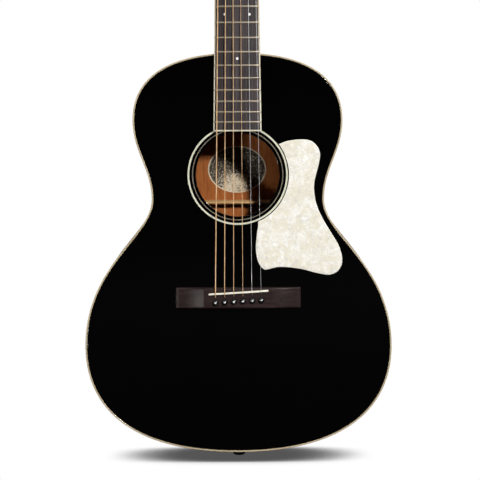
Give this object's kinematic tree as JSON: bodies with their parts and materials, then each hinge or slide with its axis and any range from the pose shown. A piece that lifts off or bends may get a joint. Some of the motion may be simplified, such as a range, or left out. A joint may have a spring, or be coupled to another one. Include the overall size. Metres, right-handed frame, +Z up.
{
  "type": "acoustic guitar",
  "caption": "Small-bodied flat-top steel-string acoustic guitar with a waisted hollow body, round soundhole, pin bridge, fretted neck and worm-geared tuners.",
  "frame": {"origin": "centre of the end pin's outer face, at the body's tail", "axes": "+Z runs up the neck to the headstock, -Y points out of the soundboard towards the listener, +X is the treble side"},
  "size_m": [0.3746, 0.1242, 1.0288],
  "materials": {
    "black_gloss_lacquer": "gloss",
    "mahogany_gloss": "gloss",
    "mahogany_raw": "matte",
    "spruce": "matte",
    "maple": "matte",
    "ivoroid": "satin",
    "ebony": "satin",
    "rosewood": "satin",
    "bone": "polished",
    "white_pearloid": "gloss",
    "black_plastic": "gloss",
    "paper": "matte",
    "nickel": "polished",
    "steel": "satin",
    "bronze": "satin"
  },
  "bodies": {
    "root": {"soundboard": "black_gloss_lacquer", "headstock_veneer": "black_gloss_lacquer", "back_plate": "mahogany_gloss", "rim_bass": "mahogany_gloss", "rim_treble": "mahogany_gloss", "neck": "mahogany_gloss", "lining_front": "mahogany_raw", "lining_back": "mahogany_raw", "neck_block": "mahogany_raw", "tail_block": "mahogany_raw", "x_brace_bass": "spruce", "x_brace_treble": "spruce", "upper_transverse_brace": "spruce", "tone_bar": "spruce", "back_brace_1": "spruce", "back_brace_2": "spruce", "back_brace_3": "spruce", "back_brace_4": "spruce", "bridge_plate": "maple", "binding_front": "ivoroid", "binding_back": "ivoroid", "rosette_outer": "ivoroid", "rosette_inner": "ivoroid", "fretboard_binding": "ivoroid", "heel_cap": "ivoroid", "fretboard": "ebony", "bridge": "rosewood", "saddle": "bone", "nut": "bone", "pickguard": "white_pearloid", "end_pin": "black_plastic", "truss_rod_cover": "black_plastic", "paper_label": "paper", "tuner_plate_bass": "nickel", "tuner_plate_treble": "nickel", "truss_rod": "steel", "string_1": "steel", "string_2": "steel", "string_3": "bronze", "string_4": "bronze", "string_5": "bronze", "string_6": "bronze"},
    "tuner_knob_1": {"tuner_knob_1": "bone"},
    "tuner_post_1": {"tuner_post_1": "nickel"},
    "tuner_knob_2": {"tuner_knob_2": "bone"},
    "tuner_post_2": {"tuner_post_2": "nickel"},
    "tuner_knob_3": {"tuner_knob_3": "bone"},
    "tuner_post_3": {"tuner_post_3": "nickel"},
    "tuner_knob_4": {"tuner_knob_4": "bone"},
    "tuner_post_4": {"tuner_post_4": "nickel"},
    "tuner_knob_5": {"tuner_knob_5": "bone"},
    "tuner_post_5": {"tuner_post_5": "nickel"},
    "tuner_knob_6": {"tuner_knob_6": "bone"},
    "tuner_post_6": {"tuner_post_6": "nickel"},
    "bridge_pin_1": {"bridge_pin_1": "black_plastic"},
    "bridge_pin_2": {"bridge_pin_2": "black_plastic"},
    "bridge_pin_3": {"bridge_pin_3": "black_plastic"},
    "bridge_pin_4": {"bridge_pin_4": "black_plastic"},
    "bridge_pin_5": {"bridge_pin_5": "black_plastic"},
    "bridge_pin_6": {"bridge_pin_6": "black_plastic"}
  },
  "joints": [
    {"name": "knob_1_turn", "type": "hinge", "parent": "root", "child": "tuner_knob_1", "pos_m": [0.0215, -0.02855, 0.89933], "axis": [1, 0, 0], "continuous": true},
    {"name": "post_1_turn", "type": "hinge", "parent": "root", "child": "tuner_post_1", "pos_m": [0.0215, -0.04398, 0.91234], "axis": [0, -0.9681, 0.2504], "continuous": true},
    {"name": "knob_2_turn", "type": "hinge", "parent": "root", "child": "tuner_knob_2", "pos_m": [0.0215, -0.01953, 0.93419], "axis": [1, 0, 0], "continuous": true},
    {"name": "post_2_turn", "type": "hinge", "parent": "root", "child": "tuner_post_2", "pos_m": [0.0215, -0.03497, 0.94719], "axis": [0, -0.9681, 0.2504], "continuous": true},
    {"name": "knob_3_turn", "type": "hinge", "parent": "root", "child": "tuner_knob_3", "pos_m": [0.0215, -0.01052, 0.96904], "axis": [1, 0, 0], "continuous": true},
    {"name": "post_3_turn", "type": "hinge", "parent": "root", "child": "tuner_post_3", "pos_m": [0.0215, -0.02595, 0.98204], "axis": [0, -0.9681, 0.2504], "continuous": true},
    {"name": "knob_4_turn", "type": "hinge", "parent": "root", "child": "tuner_knob_4", "pos_m": [-0.0215, -0.01052, 0.96904], "axis": [1, 0, 0], "continuous": true},
    {"name": "post_4_turn", "type": "hinge", "parent": "root", "child": "tuner_post_4", "pos_m": [-0.0215, -0.02595, 0.98204], "axis": [0, -0.9681, 0.2504], "continuous": true},
    {"name": "knob_5_turn", "type": "hinge", "parent": "root", "child": "tuner_knob_5", "pos_m": [-0.0215, -0.01953, 0.93419], "axis": [1, 0, 0], "continuous": true},
    {"name": "post_5_turn", "type": "hinge", "parent": "root", "child": "tuner_post_5", "pos_m": [-0.0215, -0.03497, 0.94719], "axis": [0, -0.9681, 0.2504], "continuous": true},
    {"name": "knob_6_turn", "type": "hinge", "parent": "root", "child": "tuner_knob_6", "pos_m": [-0.0215, -0.02855, 0.89933], "axis": [1, 0, 0], "continuous": true},
    {"name": "post_6_turn", "type": "hinge", "parent": "root", "child": "tuner_post_6", "pos_m": [-0.0215, -0.04398, 0.91234], "axis": [0, -0.9681, 0.2504], "continuous": true},
    {"name": "pin_1_pull", "type": "slide", "parent": "root", "child": "bridge_pin_1", "axis": [0, -1, 0], "range_m": [0, 0.028]},
    {"name": "pin_2_pull", "type": "slide", "parent": "root", "child": "bridge_pin_2", "axis": [0, -1, 0], "range_m": [0, 0.028]},
    {"name": "pin_3_pull", "type": "slide", "parent": "root", "child": "bridge_pin_3", "axis": [0, -1, 0], "range_m": [0, 0.028]},
    {"name": "pin_4_pull", "type": "slide", "parent": "root", "child": "bridge_pin_4", "axis": [0, -1, 0], "range_m": [0, 0.028]},
    {"name": "pin_5_pull", "type": "slide", "parent": "root", "child": "bridge_pin_5", "axis": [0, -1, 0], "range_m": [0, 0.028]},
    {"name": "pin_6_pull", "type": "slide", "parent": "root", "child": "bridge_pin_6", "axis": [0, -1, 0], "range_m": [0, 0.028]}
  ],
  "couplings": [
    {"joint": "post_1_turn", "follows": "knob_1_turn", "ratio": 0.0625},
    {"joint": "post_2_turn", "follows": "knob_2_turn", "ratio": 0.0625},
    {"joint": "post_3_turn", "follows": "knob_3_turn", "ratio": 0.0625},
    {"joint": "post_4_turn", "follows": "knob_4_turn", "ratio": 0.0625},
    {"joint": "post_5_turn", "follows": "knob_5_turn", "ratio": 0.0625},
    {"joint": "post_6_turn", "follows": "knob_6_turn", "ratio": 0.0625}
  ]
}
